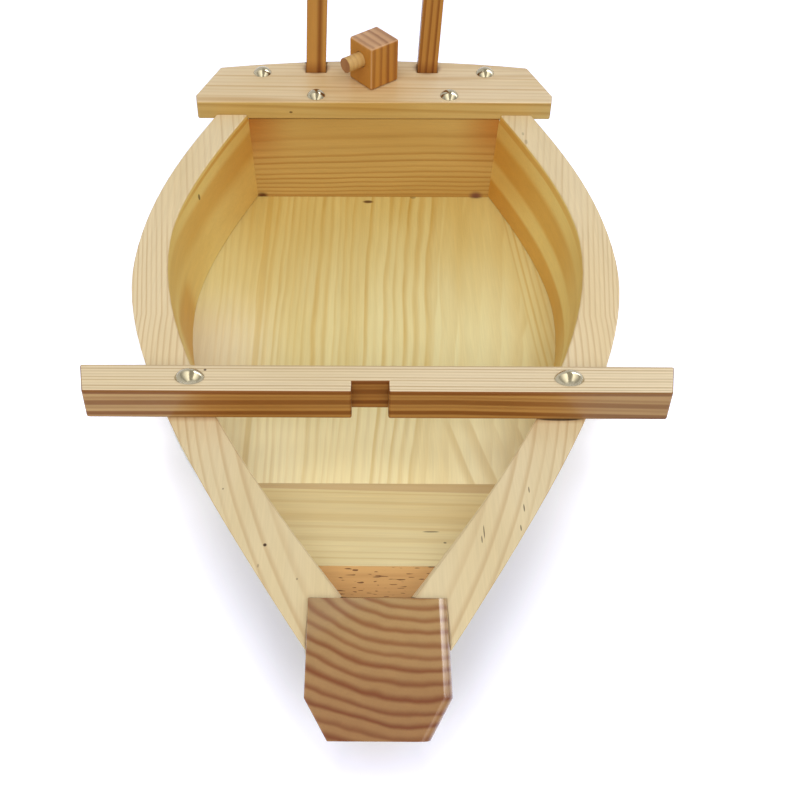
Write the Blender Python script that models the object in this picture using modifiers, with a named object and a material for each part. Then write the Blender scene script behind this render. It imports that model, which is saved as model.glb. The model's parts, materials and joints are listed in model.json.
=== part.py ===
"""A wooden sushi boat: flared side boards on a flat bottom board, a raked stem, a sloped bow panel,
a notched cross beam, and a stern deck that carries a two-post frame and a turning rudder.

Metres, +Z up. The bow points to -Y and the boat stands on Z = 0."""

import math

import bmesh
import bpy
from mathutils import Matrix, Vector
from mathutils.geometry import interpolate_bezier

# Clearance between pieces that touch
GAP = 0.0003

# Hull shell
BOTTOM_THICK = 0.010
HULL_DEPTH = 0.046
HALF_BEAM = 0.1093
WIDEST_Y = 0.038
STERN_Y = 0.1945
STERN_HALF = 0.0702
BOW_Y = -0.185
BOW_HALF = 0.015
SIDE_THICK = 0.0145
SIDE_THICK_BOW = 0.0102
SIDE_THICK_STERN = 0.0165
INNER_BOW_SETBACK = 0.025
INNER_WIDEST_BACK = 0.0145
FLARE = 0.0072
BOW_FLARE = 0.010
STATIONS = 20

# How the outer and the inner edges leave the bow, pass the widest point and reach the stern
BOW_ANGLE = math.radians(30.9)
BOW_REACH = 0.0994
BOW_BLEND = 0.0622
STERN_BLEND = 0.0665
STERN_REACH = 0.045
STERN_ANGLE = math.radians(18)
INNER_BOW_ANGLE = math.radians(33)
INNER_BOW_REACH = 0.0711
INNER_BOW_BLEND = 0.0753
INNER_STERN_BLEND = 0.0442
INNER_STERN_REACH = 0.045
INNER_STERN_ANGLE = math.radians(20)

# Stem
STEM_HALF_WIDTH = 0.0237
STEM_LENGTH = 0.0535
STEM_OVERHANG = 0.0198
STEM_RISE = 0.004
STEM_RAKE = math.radians(36)
STEM_CHAMFER_X = 0.0076
STEM_CHAMFER_Y = 0.0149

# Bow panel and the block that carries its front end
PANEL_REAR_Y = -0.0565
PANEL_LENGTH = 0.0655
PANEL_RISE = 0.0292
PANEL_THICK = 0.008

# Transom
TRANSOM_THICK = 0.013
TRANSOM_RAKE = math.radians(11.8)

# Cross beam
BEAM_LENGTH = 0.2344
BEAM_END_SKEW = 0.003
BEAM_SIZE = 0.0148
BEAM_Y = -0.055
MAST_NOTCH_WIDTH = 0.0146
MAST_NOTCH_DEPTH = 0.0059
MAST_NOTCH_X = -0.0025

# Stern deck
DECK_FRONT_Y = 0.1605
DECK_THICK = 0.010
DECK_LET_IN = 0.0027
DECK_HALF_FRONT = 0.0925
DECK_HALF_WIDE = 0.0936
DECK_HALF_REAR = 0.0831
DECK_SQUARE = 0.007
DECK_CORNER_LENGTH = 0.0355
DECK_CROWN = 0.0074
DECK_ARC_STEPS = 12

# Frame on the stern deck
POST_WIDTH = 0.0103
POST_DEPTH = 0.009
POST_X = 0.030
POST_SHIFT = -0.0011
POST_SETBACK = 0.0079
POST_HEIGHT = 0.086
POST_SOCKET = 0.007
POST_LEAN = math.radians(2.1)
RAIL_LENGTH = 0.096
RAIL_SIZE = 0.012
RAIL_SOCKET = 0.006

# Rudder
RUDDER_TURN = math.radians(-51.4)
HEAD_SIZE = 0.0186
HEAD_HEIGHT = 0.0238
HEAD_BORE_DEPTH = 0.018
STOCK_RADIUS = 0.006
STOCK_CLEARANCE = 0.0043
STOCK_BOTTOM_Z = 0.008
PEG_RADIUS = 0.004
PEG_REACH = 0.010
PEG_SEAT = 0.003
PEG_ABOVE_DECK = 0.0147
BLADE_THICK = 0.005
BLADE_LENGTH = 0.036
BLADE_HEIGHT = 0.036
BLADE_SHOULDER = 0.010
BLADE_PIN_RADIUS = 0.00125
BLADE_PIN_INSET = 0.008

# Nails: head radius, head height, shank radius, length under the head
BEAM_NAIL = (0.0061, 0.0036, 0.0014, 0.026)
DECK_NAIL = (0.0048, 0.0028, 0.0012, 0.022)
RAIL_NAIL = (0.0030, 0.0016, 0.0009, 0.016)
FLAT_NAIL = (0.0024, 0.0009, 0.0009, 0.026)
STEM_NAIL = (0.0024, 0.0009, 0.0009, 0.016)
NAIL_STEPS = 16
NAIL_DOME_STEPS = 4
NAIL_SINK = 0.0006
BEAM_NAIL_LEFT_IN = 0.0030
BEAM_NAIL_RIGHT_IN = 0.0010
DECK_FRONT_NAIL_X = 0.035
DECK_FRONT_NAIL_SHIFT = 0.0046
DECK_REAR_NAIL_BACK = 0.0298
DECK_REAR_NAIL_IN = 0.0035
BOTTOM_NAIL_STATIONS = (-0.085, -0.010, 0.065, 0.130)
FOOT_NAIL_X = 0.030
TRANSOM_NAIL_HEIGHTS = (0.30, 0.70)
TRANSOM_NAIL_BITE = 0.004
STEM_NAIL_BACK = 0.010
STEM_NAIL_HEIGHT = 0.55

# Levels and lines that follow from the sizes above
GUNWALE_Z = BOTTOM_THICK + HULL_DEPTH
DECK_BOTTOM_Z = GUNWALE_Z - DECK_LET_IN
DECK_TOP_Z = DECK_BOTTOM_Z + DECK_THICK
DECK_REAR_Y = DECK_FRONT_Y + DECK_CORNER_LENGTH + DECK_CROWN
STEM_TOP_Z = GUNWALE_Z + STEM_RISE
STEM_TIP_Y = BOW_Y - STEM_OVERHANG
PANEL_FRONT_Y = PANEL_REAR_Y - PANEL_LENGTH
STEM_SLOPE = math.tan(STEM_RAKE)
TRANSOM_SLOPE = math.tan(TRANSOM_RAKE)
TRANSOM_DEEP = TRANSOM_THICK / math.cos(TRANSOM_RAKE)
TRANSOM_TOP_Z = DECK_BOTTOM_Z - GAP
RUDDER_Y = DECK_FRONT_Y + TRANSOM_DEEP + STOCK_CLEARANCE + STOCK_RADIUS
POST_Y = DECK_REAR_Y - POST_SETBACK
RAIL_TOP_Z = DECK_TOP_Z + POST_HEIGHT * math.cos(POST_LEAN) - RAIL_SOCKET + RAIL_SIZE
CUTTER_REACH = 0.050
BORE_LEAD = 0.005
ROUND_STEPS = 24
BORE_STEPS = 12
HANDS = (("left", -1), ("right", 1))
DOWN = Vector((0, 0, -1))
UP = Vector((0, 0, 1))

PINE_TOP = (0.75, 0.58, 0.34)
PINE_HONEY = (0.62, 0.41, 0.15)
PINE_BOARD = (0.74, 0.60, 0.29)
PINE_DARK = (0.47, 0.24, 0.06)
PINE_END = (0.45, 0.28, 0.12)
BEECH = (0.57, 0.30, 0.11)
NICKEL_BRASS = (0.72, 0.68, 0.55)
STEEL = (0.45, 0.44, 0.42)


def clear_scene():
    for obj in list(bpy.data.objects):
        bpy.data.objects.remove(obj, do_unlink=True)


def new_collection(name):
    collection = bpy.data.collections.new(name)
    bpy.context.scene.collection.children.link(collection)
    return collection


def material(name, colour, roughness, metallic=0.0):
    """A Principled BSDF of one colour."""
    made = bpy.data.materials.new(name)
    made.use_nodes = True
    shader = made.node_tree.nodes["Principled BSDF"]
    shader.inputs["Base Color"].default_value = (*colour, 1.0)
    shader.inputs["Roughness"].default_value = roughness
    shader.inputs["Metallic"].default_value = metallic
    return made


def wood(obj, colour, roughness=0.45):
    obj.data.materials.append(material(obj.name + "_wood", colour, roughness))
    return obj


def metal(obj, colour, roughness=0.25):
    obj.data.materials.append(material(obj.name + "_metal", colour, roughness, 1.0))
    return obj


def new_object(name, mesh, collection):
    obj = bpy.data.objects.new(name, mesh)
    collection.objects.link(obj)
    if collection == cutters:
        obj.hide_render = True
        obj.display_type = "WIRE"
    return obj


def plate(name, outline, thickness, collection):
    """A flat outline in XY, filled and given a thickness along Z about Z = 0."""
    curve = bpy.data.curves.new(name + "_outline", "CURVE")
    curve.dimensions = "2D"
    curve.fill_mode = "BOTH"
    curve.extrude = thickness / 2
    spline = curve.splines.new("POLY")
    spline.points.add(len(outline) - 1)
    for point, (x, y) in zip(spline.points, outline):
        point.co = (x, y, 0.0, 1.0)
    spline.use_cyclic_u = True
    guide = bpy.data.objects.new(name + "_guide", curve)
    bpy.context.scene.collection.objects.link(guide)
    graph = bpy.context.evaluated_depsgraph_get()
    mesh = bpy.data.meshes.new_from_object(guide.evaluated_get(graph))
    bpy.data.objects.remove(guide, do_unlink=True)
    weld(mesh)
    return new_object(name, mesh, collection)


def weld(mesh):
    shape = bmesh.new()
    shape.from_mesh(mesh)
    bmesh.ops.remove_doubles(shape, verts=shape.verts, dist=0.00001)
    bmesh.ops.recalc_face_normals(shape, faces=shape.faces)
    shape.to_mesh(mesh)
    shape.free()


def bar(name, profile, half_width, collection):
    """A profile of (y, z) points, run along X from -half_width to +half_width."""
    obj = plate(name, profile, 2 * half_width, collection)
    turn = Matrix(((0, 0, 1, 0), (1, 0, 0, 0), (0, 1, 0, 0), (0, 0, 0, 1)))
    obj.data.transform(turn)
    return obj


def box(name, size, centre, collection):
    mesh = bpy.data.meshes.new(name)
    shape = bmesh.new()
    bmesh.ops.create_cube(shape, size=1.0)
    bmesh.ops.scale(shape, vec=size, verts=shape.verts)
    shape.to_mesh(mesh)
    shape.free()
    obj = new_object(name, mesh, collection)
    obj.location = centre
    return obj


def rod(name, radius, length, collection, steps=ROUND_STEPS):
    """A round bar from its origin down to Z = -length."""
    mesh = bpy.data.meshes.new(name)
    shape = bmesh.new()
    bmesh.ops.create_cone(
        shape, cap_ends=True, segments=steps, radius1=radius, radius2=radius, depth=length
    )
    bmesh.ops.translate(shape, vec=(0, 0, -length / 2), verts=shape.verts)
    shape.to_mesh(mesh)
    shape.free()
    mesh.shade_smooth()
    mesh.set_sharp_from_angle(angle=math.radians(40))
    return new_object(name, mesh, collection)


def loft(name, rings, collection):
    """A closed skin over rings of equal point counts, capped at both ends, split at the short diagonals."""
    mesh = bpy.data.meshes.new(name)
    shape = bmesh.new()
    rows = [[shape.verts.new(point) for point in ring] for ring in rings]
    for row, after in zip(rows, rows[1:]):
        for i in range(len(row)):
            j = (i + 1) % len(row)
            if (row[i].co - after[j].co).length < (row[j].co - after[i].co).length:
                split = ((row[i], row[j], after[j]), (row[i], after[j], after[i]))
            else:
                split = ((row[i], row[j], after[i]), (row[j], after[j], after[i]))
            for corners in split:
                shape.faces.new(corners)
    shape.faces.new(rows[0])
    shape.faces.new(rows[-1])
    bmesh.ops.recalc_face_normals(shape, faces=shape.faces)
    shape.to_mesh(mesh)
    shape.free()
    return new_object(name, mesh, collection)


def boolean(target, tool, operation="DIFFERENCE"):
    modifier = target.modifiers.new(tool.name, "BOOLEAN")
    modifier.operation = operation
    modifier.object = tool
    modifier.solver = "EXACT"


def plan_line(bow, widest, stern, bow_bend, stern_bend):
    """Points (half width, y) of one edge of a side board, from the bow to the stern.

    Each bend holds the edge's angle at that end, its straight run there, and its run past the widest point."""
    bow_angle, bow_reach, bow_blend = bow_bend
    stern_angle, stern_reach, stern_blend = stern_bend
    bow, widest, stern = [Vector((x, y, 0)) for x, y in (bow, widest, stern)]
    along_bow = Vector((math.sin(bow_angle), math.cos(bow_angle), 0))
    along_stern = Vector((-math.sin(stern_angle), math.cos(stern_angle), 0))
    ahead = interpolate_bezier(
        bow,
        bow + bow_reach * along_bow,
        widest - Vector((0, bow_blend, 0)),
        widest,
        STATIONS + 1,
    )
    astern = interpolate_bezier(
        widest,
        widest + Vector((0, stern_blend, 0)),
        stern - stern_reach * along_stern,
        stern,
        STATIONS + 1,
    )
    return [(point.x, point.y) for point in ahead + astern[1:]]


def outer_edge(bow_shift, narrowing):
    """An outer edge of a side board, the lower one shifted aft at the bow and narrowed by the flare."""
    return plan_line(
        (BOW_HALF, BOW_Y + bow_shift),
        (HALF_BEAM - narrowing, WIDEST_Y),
        (STERN_HALF - narrowing, STERN_Y),
        (BOW_ANGLE, BOW_REACH, BOW_BLEND),
        (STERN_ANGLE, STERN_REACH, STERN_BLEND),
    )


def inner_edge(bow_shift, narrowing):
    return plan_line(
        (BOW_HALF - SIDE_THICK_BOW, BOW_Y + INNER_BOW_SETBACK + bow_shift),
        (HALF_BEAM - SIDE_THICK - narrowing, WIDEST_Y + INNER_WIDEST_BACK),
        (STERN_HALF - SIDE_THICK_STERN - narrowing, STERN_Y),
        (INNER_BOW_ANGLE, INNER_BOW_REACH, INNER_BOW_BLEND),
        (INNER_STERN_ANGLE, INNER_STERN_REACH, INNER_STERN_BLEND),
    )


def half_width(line, y):
    """The half width of a plan line at a station."""
    for (x0, y0), (x1, y1) in zip(line, line[1:]):
        if y0 <= y <= y1:
            return x0 + (x1 - x0) * (y - y0) / (y1 - y0)
    return line[0][0] if y < line[0][1] else line[-1][0]


def blend_lines(low, high, share):
    return [(a + (c - a) * share, b + (d - b) * share) for (a, b), (c, d) in zip(low, high)]


def wall_point(low, high, y, z):
    """The half width of a wall between its lower and upper plan lines."""
    share = (z - BOTTOM_THICK) / HULL_DEPTH
    return half_width(blend_lines(low, high, share), y)


clear_scene()
boat = new_collection("sushi_boat")
cutters = new_collection("sushi_boat_cutters")

# The four long edges of a side board. The lower edges start further aft, along the raked stem.
BOW_SHIFT = HULL_DEPTH * STEM_SLOPE
OUTER_TOP = outer_edge(0, 0)
INNER_TOP = inner_edge(0, 0)
OUTER_LOW = outer_edge(BOW_SHIFT + BOW_FLARE, FLARE)
INNER_LOW = inner_edge(BOW_SHIFT, FLARE)


def frame_empty():
    root = bpy.data.objects.new("boat_frame", None)
    boat.objects.link(root)
    return root


def rudder_empty(root):
    """The rudder's axis: its pieces turn about this empty's Z."""
    axis = bpy.data.objects.new("rudder_axis", None)
    boat.objects.link(axis)
    axis.parent = root
    axis.location = (0, RUDDER_Y, DECK_TOP_Z)
    axis.rotation_euler = (0, 0, RUDDER_TURN)
    return axis


def side_board(name, sign):
    """One flared side, sawn from a plank. Its bow end stops inside the stem, which is cut out of it."""
    foot_z = BOTTOM_THICK + GAP
    low_outer = blend_lines(OUTER_LOW, OUTER_TOP, GAP / HULL_DEPTH)
    low_inner = blend_lines(INNER_LOW, INNER_TOP, GAP / HULL_DEPTH)
    rings = [
        (
            (sign * a[0], a[1], GUNWALE_Z),
            (sign * b[0], b[1], GUNWALE_Z),
            (sign * c[0], c[1], foot_z),
            (sign * d[0], d[1], foot_z),
        )
        for a, b, c, d in zip(OUTER_TOP, INNER_TOP, low_inner, low_outer)
    ]
    obj = loft(name, rings, boat)
    obj.data.shade_smooth()
    obj.data.set_sharp_from_angle(angle=math.radians(40))
    return wood(obj, PINE_TOP)


def interior_cutter():
    """The space between the side boards, a gap smaller all round and a little taller than the hull."""
    levels = (-GAP / HULL_DEPTH, 1 + GAP / HULL_DEPTH)
    low, high = [blend_lines(INNER_LOW, INNER_TOP, share) for share in levels]
    low_z, high_z = [BOTTOM_THICK + share * HULL_DEPTH for share in levels]
    rings = [
        (
            (-(a - GAP), b, high_z),
            (-(c - GAP), d, low_z),
            (c - GAP, d, low_z),
            (a - GAP, b, high_z),
        )
        for (a, b), (c, d) in zip(high, low)
    ]
    return loft("interior_cutter", rings, cutters)


def stem_back(z):
    """Where the stem's raked rear face is at a height."""
    return STEM_TIP_Y + STEM_LENGTH + (STEM_TOP_Z - z) * STEM_SLOPE


def stem_solid(name, clearance, collection):
    """The raked stem: a plan outline with cut front corners, sheared forward as it rises."""
    half = STEM_HALF_WIDTH + clearance
    tip = STEM_TIP_Y - clearance
    back = STEM_TIP_Y + STEM_LENGTH + clearance
    outline = (
        (half, back),
        (-half, back),
        (-half, tip + STEM_CHAMFER_Y),
        (-half + STEM_CHAMFER_X, tip),
        (half - STEM_CHAMFER_X, tip),
        (half, tip + STEM_CHAMFER_Y),
    )
    low = BOTTOM_THICK + GAP - clearance
    high = STEM_TOP_Z + clearance
    obj = plate(name, outline, high - low, collection)
    shear = Matrix.Identity(4)
    shear[1][2] = -STEM_SLOPE
    centre = (low + high) / 2
    obj.data.transform(shear)
    obj.location = (0, (STEM_TOP_Z - centre) * STEM_SLOPE, centre)
    return obj


def bottom_board():
    """The flat bottom, from the foot of the stem to the foot of the transom."""
    front = STEM_TIP_Y + (STEM_TOP_Z - BOTTOM_THICK) * STEM_SLOPE
    rear = DECK_FRONT_Y - (TRANSOM_TOP_Z - BOTTOM_THICK) * TRANSOM_SLOPE + TRANSOM_DEEP
    nose = STEM_HALF_WIDTH - STEM_CHAMFER_X
    shoulder = front + STEM_CHAMFER_Y
    side = [(x, y) for x, y in OUTER_LOW if shoulder < y < rear and x > STEM_HALF_WIDTH]
    side = [(nose, front), (STEM_HALF_WIDTH, shoulder)] + side + [(half_width(OUTER_LOW, rear), rear)]
    outline = side + [(-x, y) for x, y in reversed(side)]
    obj = plate("bottom_board", outline, BOTTOM_THICK, boat)
    obj.location = (0, 0, BOTTOM_THICK / 2)
    return wood(obj, PINE_BOARD)


def transom(interior):
    """The raked stern board, fitted between the side boards under the deck's front edge."""
    low = BOTTOM_THICK + GAP
    foot = DECK_FRONT_Y - (TRANSOM_TOP_Z - low) * TRANSOM_SLOPE
    profile = (
        (foot, low),
        (foot + TRANSOM_DEEP, low),
        (DECK_FRONT_Y + TRANSOM_DEEP, TRANSOM_TOP_Z),
        (DECK_FRONT_Y, TRANSOM_TOP_Z),
    )
    obj = bar("transom", profile, HALF_BEAM, boat)
    boolean(obj, interior, "INTERSECT")
    return wood(obj, PINE_HONEY)


def bow_panel(interior):
    """The sloped panel that closes the bow, cut to the side boards' inner faces."""
    slope = PANEL_RISE / (PANEL_REAR_Y - PANEL_FRONT_Y)
    deep = PANEL_THICK * math.hypot(1, slope)
    low = BOTTOM_THICK + GAP
    profile = (
        (PANEL_REAR_Y, low),
        (PANEL_FRONT_Y, low + PANEL_RISE),
        (PANEL_FRONT_Y, low + PANEL_RISE - deep),
        (PANEL_REAR_Y - deep / slope, low),
    )
    obj = bar("bow_panel", profile, HALF_BEAM, boat)
    boolean(obj, interior, "INTERSECT")
    wood(obj, PINE_BOARD)


def bow_block(interior):
    """The wedge between the bow panel's front end and the stem's raked rear face."""
    rear = PANEL_FRONT_Y - GAP
    seat = GAP / math.cos(STEM_RAKE)
    low = BOTTOM_THICK + GAP
    top = low + PANEL_RISE
    tip = STEM_TOP_Z - (rear - seat - stem_back(STEM_TOP_Z)) / STEM_SLOPE
    profile = [(rear, top), (stem_back(top) + seat, top)]
    if tip < low:
        profile += [(stem_back(low) + seat, low), (rear, low)]
    else:
        profile += [(rear, tip)]
    obj = bar("bow_block", profile, HALF_BEAM, boat)
    boolean(obj, interior, "INTERSECT")
    wood(obj, BEECH)


def cross_beam():
    """The square beam across both gunwales: its ends are cut a little askew, and its bow face is notched."""
    rear = BEAM_Y + BEAM_SIZE / 2
    front = BEAM_Y - BEAM_SIZE / 2
    half = BEAM_LENGTH / 2
    outline = (
        (-half, rear),
        (-half + BEAM_END_SKEW, front),
        (half - BEAM_END_SKEW, front),
        (half, rear),
    )
    obj = plate("cross_beam", outline, BEAM_SIZE, boat)
    obj.location = (0, 0, GUNWALE_Z + GAP + BEAM_SIZE / 2)
    notch = box(
        "mast_notch_cutter",
        (MAST_NOTCH_WIDTH, 2 * MAST_NOTCH_DEPTH, 2 * BEAM_SIZE),
        (MAST_NOTCH_X, front, obj.location.z),
        cutters,
    )
    boolean(obj, notch)
    return wood(obj, PINE_TOP)


def stern_deck():
    """The deck across the stern: widest just behind its front edge, then drawn in to an arched rear edge."""
    corner_y = DECK_FRONT_Y + DECK_CORNER_LENGTH
    radius = (DECK_HALF_REAR**2 + DECK_CROWN**2) / (2 * DECK_CROWN)
    sweep = math.asin(DECK_HALF_REAR / radius)
    arc = []
    for step in range(DECK_ARC_STEPS + 1):
        angle = sweep * (1 - 2 * step / DECK_ARC_STEPS)
        arc.append((radius * math.sin(angle), corner_y + DECK_CROWN - radius * (1 - math.cos(angle))))
    outline = [
        (-DECK_HALF_WIDE, DECK_FRONT_Y + DECK_SQUARE),
        (-DECK_HALF_FRONT, DECK_FRONT_Y),
        (DECK_HALF_FRONT, DECK_FRONT_Y),
        (DECK_HALF_WIDE, DECK_FRONT_Y + DECK_SQUARE),
    ] + arc
    obj = plate("stern_deck", outline, DECK_THICK, boat)
    obj.location = (0, 0, DECK_BOTTOM_Z + DECK_THICK / 2)
    return wood(obj, PINE_TOP)


def deck_seat_cutter():
    """What the deck takes off the top of the side boards."""
    long = 2 * (STERN_Y - DECK_FRONT_Y) + CUTTER_REACH
    centre = (0, DECK_FRONT_Y - GAP + long / 2, DECK_BOTTOM_Z - GAP + CUTTER_REACH / 2)
    return box("deck_seat_cutter", (4 * HALF_BEAM, long, CUTTER_REACH), centre, cutters)


def post_place(sign):
    """The matrix of a post's foot on the deck, leaning to starboard."""
    spot = Vector((sign * POST_X + POST_SHIFT, POST_Y, DECK_TOP_Z))
    return Matrix.Translation(spot) @ Matrix.Rotation(POST_LEAN, 4, "Y")


def post_shape(name, sign, clearance, low, high, collection):
    """A square stick from low to high along the leaning axis of a post."""
    size = (POST_WIDTH + 2 * clearance, POST_DEPTH + 2 * clearance, high - low)
    obj = box(name, size, (0, 0, 0), collection)
    obj.data.transform(Matrix.Translation((0, 0, (low + high) / 2)))
    obj.matrix_world = post_place(sign)
    return obj


def stern_post(name, sign, deck):
    """A leaning post in a blind socket of the deck."""
    low = -(POST_SOCKET - GAP)
    obj = post_shape(name, sign, 0, low, POST_HEIGHT, boat)
    boolean(deck, post_shape(name + "_socket", sign, GAP, -POST_SOCKET, CUTTER_REACH, cutters))
    return wood(obj, PINE_DARK)


def stern_rail():
    """The rail across the two posts, with a socket for each of them in its underside."""
    drift = POST_SHIFT + POST_HEIGHT * math.sin(POST_LEAN)
    centre = (drift, POST_Y, RAIL_TOP_Z - RAIL_SIZE / 2)
    obj = box("stern_rail", (RAIL_LENGTH, RAIL_SIZE, RAIL_SIZE), centre, boat)
    for side, sign in HANDS:
        tip = POST_HEIGHT + 2 * GAP
        boolean(obj, post_shape("rail_socket_" + side, sign, GAP, POST_HEIGHT / 2, tip, cutters))
    return wood(obj, PINE_DARK)


def nail(name, sizes, point, direction):
    """A domed nail: a turned profile with its head above the point and its shank along the direction."""
    head, height, shank, length = sizes
    dome = (head**2 + height**2) / (2 * height)
    sweep = math.asin(min(1.0, head / dome))
    profile = []
    for step in range(NAIL_DOME_STEPS + 1):
        angle = sweep * step / NAIL_DOME_STEPS
        profile.append((dome * math.sin(angle), GAP + height - dome * (1 - math.cos(angle))))
    profile += [(shank, GAP), (shank, -length + 2 * shank), (0, -length)]
    mesh = bpy.data.meshes.new(name)
    mesh.from_pydata([(x, 0, z) for x, z in profile], [(i, i + 1) for i in range(len(profile) - 1)], [])
    obj = new_object(name, mesh, boat)
    screw = obj.modifiers.new("turn", "SCREW")
    screw.steps = NAIL_STEPS
    screw.render_steps = NAIL_STEPS
    screw.use_merge_vertices = True
    screw.merge_threshold = 0.00001
    screw.use_smooth_shade = True
    place(obj, point, direction)
    return obj


def place(obj, point, direction):
    """Stands an object on a point, with its -Z along the direction."""
    turn = (-direction).to_track_quat("Z", "Y").to_matrix().to_4x4()
    obj.matrix_world = Matrix.Translation(point) @ turn


def nail_hole(name, sizes, point, direction):
    """The bore for a nail's shank, a little longer than the shank."""
    bore = rod(name, sizes[2] + GAP, sizes[3] + 2 * GAP + BORE_LEAD, cutters, BORE_STEPS)
    bore.data.transform(Matrix.Translation((0, 0, BORE_LEAD)))
    place(bore, point, direction)
    return bore


def nail_seat(name, sizes, point, direction):
    """The round recess that takes a flat nail's head below the surface."""
    depth = sizes[1] + GAP + NAIL_SINK
    seat = rod(name, sizes[0] + GAP, depth + BORE_LEAD, cutters, NAIL_STEPS)
    seat.data.transform(Matrix.Translation((0, 0, BORE_LEAD)))
    place(seat, point, direction)
    return seat


def drive(name, sizes, colour, point, direction, boards, sunk=False):
    """A nail through boards, each bored for it. A sunk nail sits in a recess of the first board."""
    point = Vector(point)
    if sunk:
        boolean(boards[0], nail_seat(name + "_seat", sizes, point, direction))
        point = point + (sizes[1] + GAP + NAIL_SINK) * direction
    bore = nail_hole(name + "_hole", sizes, point, direction)
    for board in boards:
        boolean(board, bore)
    metal(nail(name, sizes, point, direction), colour)


def board_middle(y, z):
    """The x of the middle of a side board's thickness at a station and a height."""
    return (wall_point(OUTER_LOW, OUTER_TOP, y, z) + wall_point(INNER_LOW, INNER_TOP, y, z)) / 2


def transom_middle(z):
    """The y of the middle of the transom's thickness at a height."""
    return DECK_FRONT_Y - (TRANSOM_TOP_Z - z) * TRANSOM_SLOPE + TRANSOM_DEEP / 2


def outer_wall(y, z, sign):
    """A point on a side board's outer face, and the direction straight into the board."""
    x = wall_point(OUTER_LOW, OUTER_TOP, y, z)
    along = (wall_point(OUTER_LOW, OUTER_TOP, y + GAP, z) - x) / GAP
    up = (wall_point(OUTER_LOW, OUTER_TOP, y, z + GAP) - x) / GAP
    inward = Vector((-sign, along, up)).normalized()
    return Vector((sign * x, y, z)), inward


def rudder(axis, deck):
    """The turning rudder: head, peg, stock and blade, with the stock through the deck."""
    head = box("rudder_head", (HEAD_SIZE, HEAD_SIZE, HEAD_HEIGHT), (0, 0, 0), boat)
    head.data.transform(Matrix.Translation((0, 0, GAP + HEAD_HEIGHT / 2)))
    stock_length = DECK_TOP_Z + HEAD_BORE_DEPTH - STOCK_BOTTOM_Z
    stock = rod("rudder_stock", STOCK_RADIUS, stock_length, boat)
    stock.data.transform(Matrix.Translation((0, 0, HEAD_BORE_DEPTH)))
    bore = rod("stock_bore_cutter", STOCK_RADIUS + GAP, stock_length + CUTTER_REACH, cutters)
    bore.data.transform(Matrix.Translation((0, 0, HEAD_BORE_DEPTH + GAP)))

    peg = rod("tiller_peg", PEG_RADIUS, PEG_REACH + PEG_SEAT, boat)
    peg_hole = rod("peg_hole_cutter", PEG_RADIUS + GAP, PEG_SEAT + GAP + CUTTER_REACH, cutters)
    peg_hole.data.transform(Matrix.Translation((0, 0, CUTTER_REACH)))
    peg.data.transform(Matrix.Translation((0, 0, PEG_REACH)))
    lay_forward = Matrix.Rotation(math.radians(90), 4, "X")
    for obj in (peg, peg_hole):
        obj.data.transform(Matrix.Translation((0, -HEAD_SIZE / 2, PEG_ABOVE_DECK)) @ lay_forward)

    blade_low = STOCK_BOTTOM_Z - DECK_TOP_Z
    outline = (
        (-STOCK_RADIUS, blade_low),
        (BLADE_LENGTH, blade_low),
        (BLADE_LENGTH, blade_low + BLADE_HEIGHT - BLADE_SHOULDER),
        (BLADE_LENGTH - 2 * BLADE_SHOULDER, blade_low + BLADE_HEIGHT),
        (-STOCK_RADIUS, blade_low + BLADE_HEIGHT),
    )
    blade = bar("rudder_blade", outline, BLADE_THICK / 2, boat)
    slot_top = blade_low + BLADE_HEIGHT + GAP
    slot = box(
        "blade_slot_cutter",
        (BLADE_THICK + 2 * GAP, 4 * STOCK_RADIUS, CUTTER_REACH),
        (0, 0, slot_top - CUTTER_REACH / 2),
        cutters,
    )
    boolean(stock, slot)
    boolean(head, bore)
    boolean(head, peg_hole)
    boolean(deck, bore)

    pins = []
    heights = (blade_low + BLADE_PIN_INSET, blade_low + BLADE_HEIGHT - BLADE_PIN_INSET)
    for where, height in zip(("lower", "upper"), heights):
        long = 2 * math.sqrt(STOCK_RADIUS**2 - BLADE_PIN_RADIUS**2)
        pin = rod("blade_pin_" + where, BLADE_PIN_RADIUS, long, boat, BORE_STEPS)
        hole = rod("blade_pin_hole_" + where, BLADE_PIN_RADIUS + GAP, 4 * STOCK_RADIUS, cutters, BORE_STEPS)
        for obj, length in ((pin, long), (hole, 4 * STOCK_RADIUS)):
            across = Matrix.Rotation(math.radians(90), 4, "Y")
            lift = Matrix.Translation((length / 2, 0, height))
            obj.data.transform(lift @ across)
        boolean(stock, hole)
        boolean(blade, hole)
        pins.append(pin)
        hole.parent = axis
    for obj in (head, stock, peg, blade, bore, peg_hole, slot, *pins):
        obj.parent = axis
    wood(head, PINE_DARK)
    wood(stock, PINE_DARK)
    wood(peg, PINE_HONEY)
    wood(blade, PINE_HONEY)
    for pin in pins:
        wood(pin, PINE_TOP)


def beam_nails(beam, sides):
    top = GUNWALE_Z + GAP + BEAM_SIZE
    for (side, sign), inset in zip(HANDS, (BEAM_NAIL_LEFT_IN, BEAM_NAIL_RIGHT_IN)):
        spot = (sign * (board_middle(BEAM_Y, GUNWALE_Z) - inset), BEAM_Y, top)
        drive("beam_nail_" + side, BEAM_NAIL, NICKEL_BRASS, spot, DOWN, (beam, sides[sign]))


def deck_nails(deck, stern_board, sides):
    front_y = DECK_FRONT_Y + TRANSOM_DEEP / 2
    rear_y = DECK_FRONT_Y + DECK_REAR_NAIL_BACK
    rear_x = board_middle(rear_y, GUNWALE_Z) - DECK_REAR_NAIL_IN
    for side, sign in HANDS:
        front = (sign * DECK_FRONT_NAIL_X + DECK_FRONT_NAIL_SHIFT, front_y, DECK_TOP_Z)
        rear = (sign * rear_x, rear_y, DECK_TOP_Z)
        drive("deck_nail_front_" + side, DECK_NAIL, NICKEL_BRASS, front, DOWN, (deck, stern_board))
        drive("deck_nail_rear_" + side, DECK_NAIL, NICKEL_BRASS, rear, DOWN, (deck, sides[sign]))


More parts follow.
